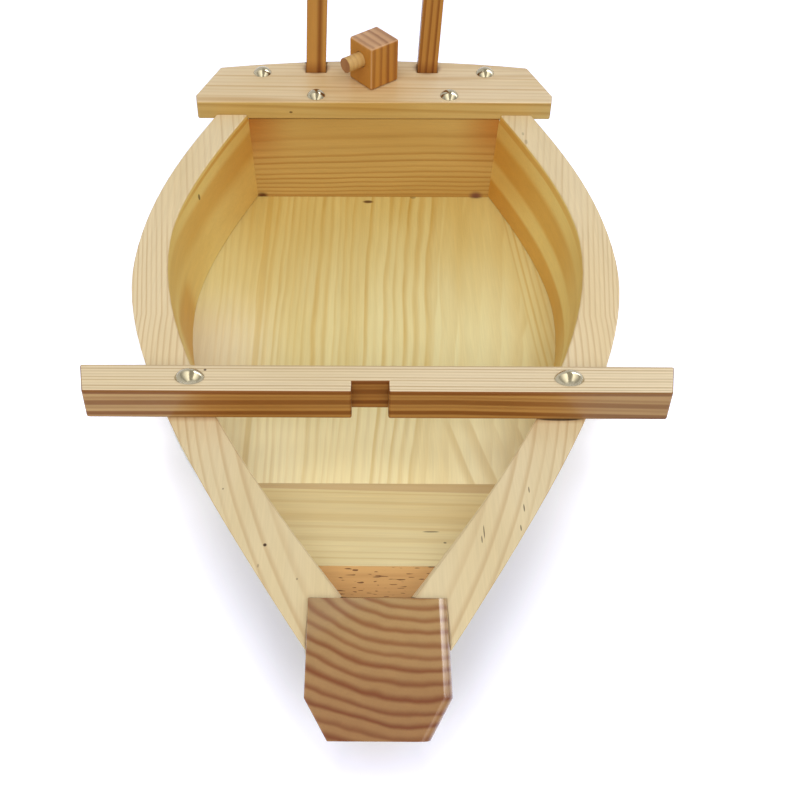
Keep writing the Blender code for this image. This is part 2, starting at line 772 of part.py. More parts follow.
def rail_nails(rail, posts):
    """One nail through the rail into the top of each post."""
    rise = (RAIL_TOP_Z - DECK_TOP_Z) / math.cos(POST_LEAN)
    for side, sign in HANDS:
        spot = post_place(sign) @ Vector((0, 0, rise))
        drive("rail_nail_" + side, RAIL_NAIL, NICKEL_BRASS, spot, DOWN, (rail, posts[sign]))


def bottom_nails(bottom, sides, stern_board, stem):
    """Flat nails from below into the side boards, the transom and the stem."""
    bite_z = (BOTTOM_THICK + FLAT_NAIL[3]) / 2
    for side, sign in HANDS:
        for number, y in enumerate(BOTTOM_NAIL_STATIONS, 1):
            spot = (sign * board_middle(y, bite_z), y, 0)
            name = f"bottom_nail_{side}_{number}"
            drive(name, FLAT_NAIL, STEEL, spot, UP, (bottom, sides[sign]), sunk=True)
        spot = (sign * FOOT_NAIL_X, transom_middle(BOTTOM_THICK), 0)
        drive("transom_foot_nail_" + side, FLAT_NAIL, STEEL, spot, UP, (bottom, stern_board), sunk=True)
    spot = (0, stem_back(BOTTOM_THICK) - STEM_LENGTH / 2, 0)
    drive("stem_foot_nail", FLAT_NAIL, STEEL, spot, UP, (bottom, stem), sunk=True)


def side_nails(sides, stern_board, stem):
    """Flat nails through the side boards into the ends of the transom and into the stem."""
    bite = SIDE_THICK_STERN + TRANSOM_NAIL_BITE
    for side, sign in HANDS:
        for where, height in zip(("lower", "upper"), TRANSOM_NAIL_HEIGHTS):
            z = BOTTOM_THICK + height * HULL_DEPTH
            inward = outer_wall(transom_middle(z), z, sign)[1]
            spot, inward = outer_wall(transom_middle(z) - bite * inward.y, z, sign)
            name = f"transom_nail_{side}_{where}"
            drive(name, FLAT_NAIL, STEEL, spot, inward, (sides[sign], stern_board), sunk=True)
        z = BOTTOM_THICK + STEM_NAIL_HEIGHT * HULL_DEPTH
        spot, inward = outer_wall(stem_back(z) - STEM_NAIL_BACK, z, sign)
        drive("stem_nail_" + side, STEM_NAIL, STEEL, spot, inward, (sides[sign], stem), sunk=True)


def main():
    root = frame_empty()
    axis = rudder_empty(root)
    interior = interior_cutter()
    stem_cutter = stem_solid("stem_cutter", GAP, cutters)
    seat = deck_seat_cutter()
    sides = {sign: side_board("side_" + side, sign) for side, sign in HANDS}
    for side in sides.values():
        boolean(side, stem_cutter)
        boolean(side, seat)
    stem = wood(stem_solid("stem_post", 0, boat), PINE_END)
    bottom = bottom_board()
    stern_board = transom(interior)
    bow_panel(interior)
    bow_block(interior)
    beam = cross_beam()
    deck = stern_deck()
    posts = {sign: stern_post("stern_post_" + side, sign, deck) for side, sign in HANDS}
    rail = stern_rail()
    rudder(axis, deck)
    beam_nails(beam, sides)
    deck_nails(deck, stern_board, sides)
    rail_nails(rail, posts)
    bottom_nails(bottom, sides, stern_board, stem)
    side_nails(sides, stern_board, stem)
    for obj in boat.objects:
        if obj not in (root, axis) and obj.parent is None:
            obj.parent = root


main()
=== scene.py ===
"""The looks of a small wooden sushi boat: rounded boards of clear-coated pine and domed nails."""

import json
import math

import bmesh
import bpy
from mathutils import Matrix, Vector


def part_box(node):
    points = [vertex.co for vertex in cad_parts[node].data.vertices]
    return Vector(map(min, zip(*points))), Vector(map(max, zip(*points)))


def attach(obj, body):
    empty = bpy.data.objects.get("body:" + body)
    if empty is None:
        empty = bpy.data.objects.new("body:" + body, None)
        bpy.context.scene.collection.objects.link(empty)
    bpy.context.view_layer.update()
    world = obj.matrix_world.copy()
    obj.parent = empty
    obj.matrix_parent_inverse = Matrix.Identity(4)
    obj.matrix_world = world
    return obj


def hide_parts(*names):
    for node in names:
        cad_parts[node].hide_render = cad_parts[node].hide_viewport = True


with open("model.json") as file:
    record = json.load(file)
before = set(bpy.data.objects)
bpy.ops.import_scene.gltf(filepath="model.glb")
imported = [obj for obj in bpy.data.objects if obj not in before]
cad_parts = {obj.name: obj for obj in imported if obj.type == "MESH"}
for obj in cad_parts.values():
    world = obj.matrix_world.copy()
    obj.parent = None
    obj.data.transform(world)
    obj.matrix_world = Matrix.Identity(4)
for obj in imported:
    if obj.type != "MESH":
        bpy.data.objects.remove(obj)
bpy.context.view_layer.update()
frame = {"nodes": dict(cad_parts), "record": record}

# Camera, in metres and radians, and its focal length and principal point in pixels of an 800 x 800 image
IMAGE_SIZE = 800
CAMERA_PLACE = Vector((-0.0061, -0.3928, 0.3966))
CAMERA_YAW = 0.0102
CAMERA_PITCH = 0.7849
CAMERA_ROLL = -0.0026
FOCAL_PIXELS = 1202.13
CENTRE_PIXEL_X = 352.2
SENSOR_WIDTH = 36.0
CLIP_START = 0.01

# Lamps: the place, width, length and power
SKY_STRENGTH = 0.464
LAMPS = {
    "left_softbox": (Vector((-0.50, -0.62, 1.30)), 0.75, 0.95, 4.15),
    "right_softbox": (Vector((0.50, -0.62, 1.30)), 0.75, 0.95, 4.15),
    "front_softbox": (Vector((0.0, -1.15, 1.10)), 0.70, 0.50, 8.6),
}
# Panels that show as reflections: the x and z of the bright and the dim edge, the y of both ends, the
# colour, and the glow at each edge
PANELS = {
    "left_panel": ((-0.13, 1.05), (-0.85, 0.50), (-2.60, 0.42), (255, 252, 244), 2.8, 0.5),
    "right_panel": ((0.44, 1.00), (0.95, 0.35), (-1.40, 0.40), (255, 252, 244), 2.8, 0.5),
    "rim_panel": ((0.40, 1.00), (1.00, 0.30), (0.40, 0.74), (246, 250, 255), 11.5, 4.0),
    "ceiling": ((-0.13, 1.05), (0.44, 1.00), (-2.60, 1.20), (205, 200, 188), 1.0, 1.0),
}
# The floor, which brightens in two steps from the hull's outline outwards, and once more far away
FLOOR_SIZE = 12.0
FLOOR_DROP = 0.0004
FLOOR_BARE = 0.90
FLOOR_SHOWN = 1.0
FLOOR_HALF = 0.45
FLOOR_CLEAR = 0.50
FLOOR_FAR = 1.5
FLOOR_MIDDLE_X = 0.0015
FLOOR_TAPER = 2.29
HALF_ACROSS = (0.0695, 0.0995)
HALF_AHEAD = (-0.160, -0.192)
CLEAR_ACROSS = (0.0915, 0.1115)
CLEAR_AHEAD = (-0.183, -0.200)
ASTERN = (0.17, 0.21)
FAR_SQUARED = (0.2, 4.0)
FLOOR_MOTTLE = 0.004

# Rounding of the edges
ROUND_STEPS = 4
ROUND = 0.0005
SIDE_ROUND = 0.0008
STEM_ROUND = 0.0036
DECK_ROUND = 0.0010
BEAM_ROUND = 0.0009
HEAD_ROUND = 0.0013
SHARP_ANGLE = math.radians(28)
CORNER_ANGLE = math.radians(40)
SHORT_EDGE = 0.0028
SEAM = 0.00012
STEM_RIM_HEIGHT = 0.058
STEM_RIM_REACH = 0.015
STEM_JOINT_Y = -0.12
STEM_JOINT_SHARE = 0.5
MOST_SHELL = 2.0
MERGE_DISTANCE = 1e-6
FLAT_ANGLE = math.radians(0.5)

# Nails
DOME_STEPS = 48
DOME_RINGS = 10
SHANK_SHARE = 0.23
HEAD_SHARE = 0.59
BEAM_NAIL_SHAPE = (0.96, 0.67, 1.0)
PLAIN_NAIL_SHAPE = (1.0, 1.0, 1.0)

# The surface of the woods and metals
WOOD_ROUGHNESS = 0.48
ROUGHNESS_DRIFT = 0.05
FIBRE_CONTRAST = 0.08
STREAK_CONTRAST = 0.06
LATE_RELIEF = 0.6
WOOD_BUMP = 0.12
METAL_BUMP = 0.08
METAL_SHADE = 0.88
RELIEF_DEPTH = 0.0004
COAT_ROUGHNESS = 0.16

# Places on the boat that its grain follows, with the lean, rake and turn of its pieces
DECK_TOP_Z = 0.0633
FLOOR_TOP_Z = 0.0103
GUNWALE_Z = 0.056
TRANSOM_TOP_Z = 0.053
POST_FEET = (-0.0311, 0.0289)
POST_Y = 0.1955
POST_LEAN = 0.0367
SOCKET_Y = 0.1950
RUDDER_Y = 0.18408
RUDDER_TURN = math.radians(-51.4)
STEM_HEART = (0.0170, -0.1135, 0.060)
STEM_RAKE = math.radians(36)

X, Y, Z = 0, 1, 2


def linear(red, green, blue):
    """A colour written as 8-bit screen values, as the shader wants it."""
    channels = [value / 255 for value in (red, green, blue)]
    return [c / 12.92 if c <= 0.04045 else ((c + 0.055) / 1.055) ** 2.4 for c in channels] + [1.0]


class Signal:
    """A number that varies over a surface: arithmetic with it adds Math nodes to its material."""

    def __init__(self, graph, socket):
        self.graph = graph
        self.socket = socket

    def __add__(self, other):
        return self.graph.math("ADD", self, other)

    def __sub__(self, other):
        return self.graph.math("SUBTRACT", self, other)

    def __rsub__(self, other):
        return self.graph.math("SUBTRACT", other, self)

    def __mul__(self, other):
        return self.graph.math("MULTIPLY", self, other)

    def __truediv__(self, other):
        return self.graph.math("DIVIDE", self, other)

    def __pow__(self, other):
        return self.graph.math("POWER", self, other)

    def __abs__(self):
        return self.graph.math("ABSOLUTE", self)

    __radd__ = __add__

    def ramp(self, low, high):
        """0 up to low and 1 from high on, smooth in between; low may lie above high."""
        node = self.graph.add("ShaderNodeMapRange", interpolation_type="SMOOTHSTEP")
        self.graph.feed(node.inputs["Value"], self)
        node.inputs["From Min"].default_value = low
        node.inputs["From Max"].default_value = high
        return Signal(self.graph, node.outputs["Result"])

    def band(self, centre, half, soft):
        """1 within half of the centre, falling to 0 over the soft width."""
        return abs(self - centre).ramp(half + soft, half)


class Graph:
    """The nodes of one material."""

    def __init__(self, name):
        self.material = bpy.data.materials.new(name)
        self.material.use_nodes = True
        self.tree = self.material.node_tree
        self.tree.nodes.clear()

    def add(self, kind, **settings):
        node = self.tree.nodes.new(kind)
        for key, value in settings.items():
            setattr(node, key, value)
        return node

    def feed(self, socket, value):
        if isinstance(value, Signal):
            value = value.socket
        if isinstance(value, bpy.types.NodeSocket):
            self.tree.links.new(value, socket)
        else:
            socket.default_value = value

    def math(self, operation, *values):
        node = self.add("ShaderNodeMath", operation=operation)
        for socket, value in zip(node.inputs, values):
            self.feed(socket, value)
        return Signal(self, node.outputs[0])

    def largest(self, first, *others):
        """The largest of several signals or numbers, the first of them a signal."""
        for other in others:
            first = self.math("MAXIMUM", first, other)
        return first

    def split(self, vector):
        node = self.add("ShaderNodeSeparateXYZ")
        self.feed(node.inputs[0], vector)
        return [Signal(self, output) for output in node.outputs]

    def join(self, x, y, z):
        node = self.add("ShaderNodeCombineXYZ")
        for socket, value in zip(node.inputs, (x, y, z)):
            self.feed(socket, value)
        return node.outputs[0]

    def surface(self):
        """The place and the normal of a surface point in the boat's own frame, each as three signals."""
        node = self.add("ShaderNodeTexCoord")
        self.place = node.outputs["Object"]
        return self.split(self.place), self.split(node.outputs["Normal"])

    def speck(self, centre, reach, core=0.4):
        """1 within a core about the centre and 0 beyond the reach along x, y and z."""
        away = self.add("ShaderNodeVectorMath", operation="SUBTRACT")
        self.feed(away.inputs[0], self.place)
        self.feed(away.inputs[1], centre)
        share = self.add("ShaderNodeVectorMath", operation="DIVIDE")
        self.feed(share.inputs[0], away.outputs[0])
        self.feed(share.inputs[1], reach)
        size = self.add("ShaderNodeVectorMath", operation="LENGTH")
        self.feed(size.inputs[0], share.outputs[0])
        return Signal(self, size.outputs["Value"]).ramp(1.0, core)

    def noise(self, x, y, z, detail=2.0):
        """Smooth noise from -1 to 1."""
        node = self.add("ShaderNodeTexNoise")
        self.feed(node.inputs["Vector"], self.join(x, y, z))
        node.inputs["Scale"].default_value = 1.0
        node.inputs["Detail"].default_value = detail
        return Signal(self, node.outputs[0]) * 2.0 - 1.0

    def chance(self, value):
        """A number from 0 to 1 that differs for each whole value."""
        node = self.add("ShaderNodeTexWhiteNoise", noise_dimensions="1D")
        self.feed(node.inputs["W"], value)
        return Signal(self, node.outputs["Value"])

    def darken(self, colour, share, darken):
        """A colour with a share of it multiplied by a second colour, which darkens it; many of its uses
        paint shade.
        """
        return self.mix(share, colour, darken, "MULTIPLY")

    def mix(self, share, first, second, blend="MIX"):
        node = self.add("ShaderNodeMix", data_type="RGBA", blend_type=blend)
        self.feed(node.inputs[0], share)
        self.feed(node.inputs[6], first)
        self.feed(node.inputs[7], second)
        return node.outputs[2]

    def brighten(self, colour, gain):
        """A colour times a number."""
        node = self.add("ShaderNodeVectorMath", operation="SCALE")
        self.feed(node.inputs[0], colour)
        self.feed(node.inputs["Scale"], gain)
        return node.outputs[0]

    def coated(self, colour, roughness, height, bump, coat):
        """Ends the material in a lacquered surface."""
        shader = self.add("ShaderNodeBsdfPrincipled")
        relief = self.add("ShaderNodeBump")
        relief.inputs["Strength"].default_value = bump
        relief.inputs["Distance"].default_value = RELIEF_DEPTH
        self.feed(relief.inputs["Height"], height)
        self.feed(shader.inputs["Base Color"], colour)
        self.feed(shader.inputs["Roughness"], roughness)
        self.feed(shader.inputs["Normal"], relief.outputs[0])
        shader.inputs["Coat Weight"].default_value = coat
        shader.inputs["Coat Roughness"].default_value = COAT_ROUGHNESS
        self.close(shader.outputs[0])
        return shader

    def close(self, shader):
        output = self.add("ShaderNodeOutputMaterial")
        self.tree.links.new(shader, output.inputs["Surface"])


class Palette:
    """The colours of a wood: its pale early growth, its dark late growth, and the tone it drifts to."""

    def __init__(self, early, late, tone):
        self.early = linear(*early)
        self.late = linear(*late)
        self.tone = linear(*tone)


OUTSIDE = Palette((232, 212, 156), (204, 162, 88), (224, 198, 132))
GUNWALE = Palette((228, 208, 168), (204, 174, 130), (222, 199, 153))
WALL = Palette((234, 211, 135), (209, 158, 65), (225, 194, 114))
FLOOR = Palette((231, 220, 166), (207, 174, 96), (221, 201, 133))
PANEL = Palette((240, 226, 178), (214, 187, 124), (233, 212, 156))
TRANSOM = Palette((191, 154, 85), (158, 112, 46), (179, 139, 69))
DECK_TOP = Palette((231, 211, 176), (196, 158, 104), (221, 195, 149))
DECK_FRONT = Palette((203, 173, 109), (165, 122, 56), (193, 157, 87))
BEAM_TOP = Palette((223, 204, 169), (176, 146, 104), (214, 194, 154))
BEAM_FRONT = Palette((178, 131, 68), (126, 74, 23), (160, 109, 46))
BEAM_END = Palette((191, 156, 104), (124, 77, 28), (178, 141, 88))
POST = Palette((190, 139, 69), (124, 68, 19), (172, 116, 49))
HEAD = Palette((193, 135, 57), (132, 71, 18), (179, 116, 41))
HEAD_TOP = Palette((210, 167, 124), (146, 97, 62), (186, 138, 95))
PEG = Palette((206, 168, 104), (190, 148, 88), (196, 154, 92))
PEG_END = Palette((190, 142, 94), (146, 96, 58), (172, 122, 78))
STEM = Palette((173, 138, 87), (128, 68, 10), (166, 127, 73))
BLOCK = Palette((206, 161, 100), (160, 105, 54), (192, 143, 85))
BLADE = Palette((206, 162, 94), (164, 114, 52), (192, 146, 78))

# Marks, and the tones of single areas, among them painted shade, painted shadow, painted light and a painted
# highlight
DARK_MARK = linear(54, 30, 14)
KNOT = linear(112, 66, 50)
NOTCHED_KNOT = linear(80, 40, 10)
FLECK = linear(84, 40, 14)
WALL_STERN_SHADE = linear(230, 200, 146)
SIDE_BOW_SHADE = linear(241, 242, 239)
SIDE_HOLLOW_LIGHT = linear(252, 238, 202)
SIDE_BRINK_SHADE = linear(206, 162, 122)
BEAM_SHADOW = linear(206, 172, 142)
FLOOR_STREAK = linear(216, 192, 120)
FLOOR_SHEEN = linear(238, 224, 196)
FLOOR_BROAD = linear(208, 178, 110)
FLOOR_BOW_LIGHT = linear(243, 229, 181)
FLOOR_CORNER_LIGHT = linear(255, 245, 204)
FLOOR_STERN_SHADE = linear(228, 207, 146)
PANEL_STRIP = linear(200, 166, 120)
TRANSOM_CORNER = linear(228, 176, 118)
DECK_HEAD_SHADE = linear(240, 218, 172)
SOCKET_SHADOW = linear(150, 104, 60)
BEAM_NOTCH = linear(236, 222, 206)
BEAM_RIGHT = linear(228, 222, 216)
POST_FOOT_SHADE = linear(190, 150, 110)
STEM_TIP = linear(222, 200, 188)
STAGE_FLOOR = linear(230, 234, 251)


class Wood(Graph):
    """A clear-coated wood whose fibres run along one axis of the boat's frame."""

    def __init__(self, name, along):
        super().__init__(name)
        self.along = along
        (self.x, self.y, self.z), (self.nx, self.ny, self.nz) = self.surface()

    def grain(self, long, fine, shift=0.0, detail=2.0):
        """Noise drawn out along the fibres. Long and fine say how often it turns in a metre."""
        rates = [fine, fine, fine]
        rates[self.along] = long
        return self.noise(self.x * rates[X] + shift, self.y * rates[Y], self.z * rates[Z], detail)

    def rings(self, phase, rise=0.35, peak=0.85, fall=1.0, least=0.45):
        """The late wood of growth rings, one to each whole step of the phase, and darker in some rings."""
        part = self.math("FRACT", phase)
        depth = self.chance(self.math("FLOOR", phase)) * (1.0 - least) + least
        return part.ramp(rise, peak) * part.ramp(fall, peak) * depth

    def ground(self, palette):
        """The early wood, drifting to its tone."""
        drift = self.grain(7.0, 34.0, 5.1)
        return self.mix(drift.ramp(-0.45, 0.6), palette.early, palette.tone)

    def tint(self, palette, late):
        """The early wood with the late wood in it."""
        return self.mix(late, self.ground(palette), palette.late)

    def mark(self, colour, centre, reach, dark=DARK_MARK, depth=0.9, core=0.6):
        """A small dark mark at a place, with its reach along x, y and z."""
        return self.mix(self.speck(centre, reach, core) * depth, colour, dark)

    def seal(self, colour, late, gloss=0.15, shine=0.2):
        """Ends the wood in fibres under a clear coat."""
        fibre = self.grain(60.0, 1500.0, detail=3.0)
        streak = self.grain(10.0, 300.0, 2.7)
        colour = self.brighten(colour, 1.0 + fibre * FIBRE_CONTRAST + streak * STREAK_CONTRAST)
        roughness = WOOD_ROUGHNESS + fibre * ROUGHNESS_DRIFT + late * ROUGHNESS_DRIFT
        shader = self.coated(colour, roughness, fibre + late * LATE_RELIEF, WOOD_BUMP, gloss)
        shader.inputs["Specular IOR Level"].default_value = shine
        return self.material


def wall_height(wood, start):
    """Height on a side board's wall, lowered ahead of the start, where the wall's bands climb to the bow."""
    ahead = wood.largest(start - wood.y, 0.0)
    wave = wood.grain(14.0, 60.0, 3.3) * 0.0007
    return wood.z - ahead * ahead * 4.2 * (1.0 - wood.z / 0.075) + wave


def right_bands(wood):
    """Late wood at the foot and the middle of the right side's wall, and a painted shade line under the rim.
    """
    height = wall_height(wood, 0.070)
    foot = height.ramp(0.0222, 0.0196) * (wood.y.ramp(0.0, 0.05) * 0.45 + 0.40)
    middle = height.ramp(0.0288, 0.0325) * height.ramp(0.0462, 0.0415)
    middle = middle * (wood.y.ramp(0.02, 0.08) * 0.5 + 0.25)
    # Painted shade: a dark line just under the gunwale's inner edge.
    rim = height.band(0.0530, 0.0012, 0.0006) * (wood.y.ramp(0.04, 0.10) * 0.4 + 0.2)
    return foot + middle + rim


def left_bands(wood):
    """Late wood at the foot and the middle of the left side's wall, and a painted shade line under the rim.
    """
    height = wall_height(wood, 0.100)
    foot = height.ramp(0.0290, 0.0185) * wood.y.ramp(0.065, 0.049) * wood.y.ramp(0.002, 0.020) * 0.8
    middle = height.ramp(0.0275, 0.0370) * height.ramp(0.0487, 0.0448)
    middle = middle * (wood.y.ramp(0.04, 0.10) * 0.3 + 0.35)
    # Painted shade: a dark line just under the gunwale's inner edge.
    rim = height.band(0.0532, 0.0006, 0.0006) * wood.y.ramp(0.05, 0.11) * 0.7
    return foot + middle + rim


def side_pine(name, bands, marks):
    """A side board: fine lines along the gunwale, broad bands on the walls, with painted shade towards the
    stern, towards the bow, along the outer edge at the bow, under the rim and beside the beam, and painted
    light on its inward faces at the bow.
    """
    wood = Wood(name, Y)
    fore = wood.math("MINIMUM", wood.y, 0.0)
    aft = wood.largest(wood.y, 0.0)
    across = abs(wood.x) - aft * 0.12 + wood.grain(9.0, 40.0) * 0.0006
    phase = ((across + fore * fore * 1.43) / 0.0468) ** 3.5
    bow = wood.y.ramp(-0.030, -0.080)
    wide = wood.rings(phase, rise=0.45) * (1.0 - bow) + wood.rings(phase, rise=0.50) * bow * 0.8
    close = wood.rings(across / 0.0031, rise=0.40, least=0.1) * 0.7
    stern = wood.y.ramp(0.050, 0.080)
    lines = wide * (1.0 - stern) + close * stern
    broad = bands(wood)
    wall = abs(wood.nz).ramp(0.58, 0.32) * abs(wood.nx).ramp(0.35, 0.60) * wood.y.ramp(-0.085, -0.050)
    # Painted shade: the walls turn darker and warmer towards the transom.
    inside = wood.darken(wood.tint(WALL, broad), wood.y.ramp(0.09, 0.155) * 0.6, WALL_STERN_SHADE)
    colour = wood.mix(wall, wood.tint(GUNWALE, lines), inside)
    level = wood.z + wood.y * wood.y * 0.25 + wood.grain(7.0, 40.0, 6.6) * 0.0025
    plain = wood.rings(level / 0.0075, rise=0.15, peak=0.80, least=0.2) * 0.8
    facing = wood.x * wood.nx
    outward = facing.ramp(0.0, 0.002)
    outer = outward * abs(wood.nz).ramp(0.45, 0.25) * abs(wood.ny).ramp(0.95, 0.70)
    colour = wood.mix(outer, colour, wood.tint(OUTSIDE, plain))
    # Painted shade: the side boards are darkened towards the bow, against the nearer lamps there.
    colour = wood.darken(colour, wood.y.ramp(-0.01, -0.10), SIDE_BOW_SHADE)
    for centre, reach, depth in marks:
        colour = wood.mark(colour, centre, reach, depth=depth)
    # Painted light: the inward faces at the bow are brightened against the shade between the sides.
    hollow_light = facing.ramp(0.0, -0.002) * abs(wood.nz).ramp(0.85, 0.55) * wood.y.ramp(-0.05, -0.07)
    colour = wood.mix(hollow_light * 0.9, colour, SIDE_HOLLOW_LIGHT)
    # Painted shade: a brown line along the outer rounded edge at the bow, where that face turns from the
    # light.
    brink_shade = outward * wood.nz.band(0.62, 0.14, 0.16) * wood.y.ramp(-0.050, -0.075)
    colour = wood.darken(colour, brink_shade * 0.7, SIDE_BRINK_SHADE)
    # Painted shadow of the beam on the gunwale tops beside it.
    beam_shadow = wood.y.band(-0.0612, 0.0010, 0.0030) * wood.nz.ramp(0.7, 0.9)
    colour = wood.darken(colour, beam_shadow * 0.55, BEAM_SHADOW)
    return wood.seal(colour, lines * (1.0 - wall) + broad * wall)


def bottom_pine():
    """The bottom board: lines that fan out from the stern, faint ones over the heart of the log, with a
    painted highlight on its left, painted light at the bow and in its fore corners, and painted shade
    towards the stern.
    """
    wood = Wood("bottom_pine", Y)
    run = wood.y - 0.06
    across = (wood.x - run * 0.055) / (run * 0.95 + 1.0)
    side = across - 0.058 + wood.grain(9.0, 26.0) * 0.0042
    deep = wood.z + 0.030 + wood.grain(9.0, 22.0, 7.7) * 0.0030
    radius = (side * side + deep * deep) ** 0.5
    uneven = wood.noise(radius * 95.0, 3.1, 0.0) * 0.6 + wood.noise(radius * 330.0, 7.4, 0.0) * 0.35
    lines = wood.rings(radius / 0.0037 + uneven, rise=0.25, peak=0.78, least=0.25)
    lines = lines * (wood.grain(16.0, 150.0, 8.3).ramp(-0.5, 0.4) * 0.5 + 0.55)
    heart = across.band(0.056, 0.012, 0.016)
    lines = lines * (across.ramp(-0.080, -0.045) * 0.60 + 0.30) * (1.0 - heart * 0.45)
    lines = lines * (wood.y.ramp(-0.04, 0.02) * 0.35 + 0.65)
    wave = across + wood.grain(12.0, 26.0, 4.7) * 0.0050
    flame = wood.rings(wave / 0.0105, rise=0.0, peak=0.9, least=0.3) * wave.ramp(0.018, 0.030) * 0.30
    lines = wood.largest(lines, flame)
    fore = wood.x + wood.y * 0.25 + wood.grain(14.0, 40.0, 1.4) * 0.0012
    arch = wood.rings(fore / 0.0098, rise=0.1, peak=0.88, least=0.4)
    arch = arch * wood.y.ramp(-0.006, -0.026) * fore.ramp(0.022, 0.027)
    lines = wood.largest(lines, arch * 0.5, across.band(-0.0560, 0.0009, 0.0012) * 0.5)
    slant = wood.x + wood.y * 0.07 + wood.grain(10.0, 40.0, 6.1) * 0.0006
    edge = slant.ramp(0.0770, 0.0800)
    close = wood.rings(slant / 0.0032, rise=0.40, peak=0.75)
    lines = lines * (1.0 - edge) + close * edge * 0.75
    rim = abs(wood.nz).ramp(0.75, 0.45)
    layer = wood.z + wood.grain(9.0, 60.0, 2.9) * 0.0006
    lines = lines * (1.0 - rim) + wood.rings(layer / 0.0034) * rim * 0.6
    streak = wood.grain(4.0, 55.0, 3.9, 1.0).ramp(-0.2, 0.6)
    colour = wood.mix(streak * 0.5, wood.ground(FLOOR), FLOOR_STREAK)
    # Painted highlight: the left of the floor is washed pale towards the bow.
    pale = across.ramp(-0.035, -0.075) * wood.y.ramp(0.085, 0.025)
    colour = wood.mix(pale * 0.65, colour, FLOOR_SHEEN)
    broad = wood.grain(5.0, 42.0, 9.4, 1.0).ramp(0.0, 0.5) * across.ramp(-0.020, -0.050)
    colour = wood.mix(broad * 0.7, colour, FLOOR_BROAD)
    # Painted light: the floor under and ahead of the beam is brightened against the beam's shade.
    colour = wood.mix(wood.y.ramp(0.02, -0.03) * 0.8, colour, FLOOR_BOW_LIGHT)
    # Painted light: the fore corners of the floor are brightened against the shade of the beam and walls.
    corner = wood.y.ramp(-0.005, -0.045) * abs(wood.x).ramp(0.022, 0.050)
    colour = wood.mix(corner * 0.85, colour, FLOOR_CORNER_LIGHT)
    colour = wood.mix(lines, colour, FLOOR.late)
    # Painted shade: the floor darkens to honey towards the stern, under the deck and between the walls.
    colour = wood.darken(colour, wood.y.ramp(0.02, 0.155) * 0.72, FLOOR_STERN_SHADE)
    notched = (-0.0027, 0.1469, FLOOR_TOP_Z)
    colour = wood.mark(colour, notched, (0.0036, 0.0018, 0.004), NOTCHED_KNOT, core=0.4)
    colour = wood.mark(colour, (0.0219, 0.1516, FLOOR_TOP_Z), (0.0020, 0.0022, 0.004), depth=0.4)
    colour = wood.mark(colour, (0.0562, 0.1520, FLOOR_TOP_Z), (0.0048, 0.0026, 0.004), KNOT, core=0.2)
    return wood.seal(colour, lines)


def panel_pine():
    """The sloped panel, with its grain across the boat and a darker strip along its rear edge."""
    wood = Wood("panel_pine", X)
    across = wood.y + wood.x * 0.035 + wood.grain(7.0, 30.0) * 0.0012
    lines = across.band(-0.0735, 0.0005, 0.0014) * 0.40 + across.band(-0.0864, 0.0020, 0.0022) * 0.40
    lines = lines + across.band(-0.0940, 0.0004, 0.0014) * 0.45 + across.band(-0.1024, 0.0006, 0.0018) * 0.40
    lines = lines * (wood.grain(9.0, 30.0, 2.2).ramp(-0.5, 0.3) * 0.6 + 0.4)
    waver = across + wood.grain(20.0, 60.0, 5.5) * 0.0005
    thin = wood.rings(waver / 0.0043, rise=0.50, least=0.1)
    lines = wood.largest(lines, thin * 0.55)
    strip = across.ramp(-0.0632, -0.0624) * 0.6
    colour = wood.tint(PANEL, lines)
    colour = wood.mix(strip, colour, PANEL_STRIP)
    colour = wood.mark(colour, (0.0215, -0.0969, 0.0283), (0.0038, 0.0006, 0.002), depth=0.7)
    colour = wood.mark(colour, (0.0264, -0.1052, 0.0320), (0.0007, 0.0007, 0.002), depth=0.7)
    return wood.seal(colour, lines)


def transom_pine():
    """The transom: few lines near the deck, close ones below, knots in its lower corners."""
    wood = Wood("transom_pine", X)
    below = TRANSOM_TOP_Z - wood.z
    sag = 0.0015 - wood.x * 0.033 + wood.x * wood.x * 0.3
    below = below - sag * (1.0 - below / 0.05) + wood.grain(16.0, 60.0) * 0.0014
    phase = below * 62.0 + below * below * 4920.0
    lines = wood.rings(phase, rise=0.4, peak=0.8) * (below.ramp(0.012, 0.024) * 0.40 + 0.45)
    colour = wood.tint(TRANSOM, lines)
    corner = abs(wood.x).ramp(0.040, 0.066) * wood.z.ramp(0.022, 0.050)
    colour = wood.darken(colour, corner * 0.8, TRANSOM_CORNER)
    colour = wood.mix(wood.z.ramp(0.0125, 0.0108) * 0.5, colour, TRANSOM.late)
    colour = wood.mark(colour, (-0.0605, 0.1516, 0.0108), (0.0042, 0.006, 0.0025), NOTCHED_KNOT, core=0.2)
    colour = wood.mark(colour, (0.0562, 0.1516, 0.0108), (0.0050, 0.006, 0.0036), KNOT, core=0.2)
    return wood.seal(colour, lines)


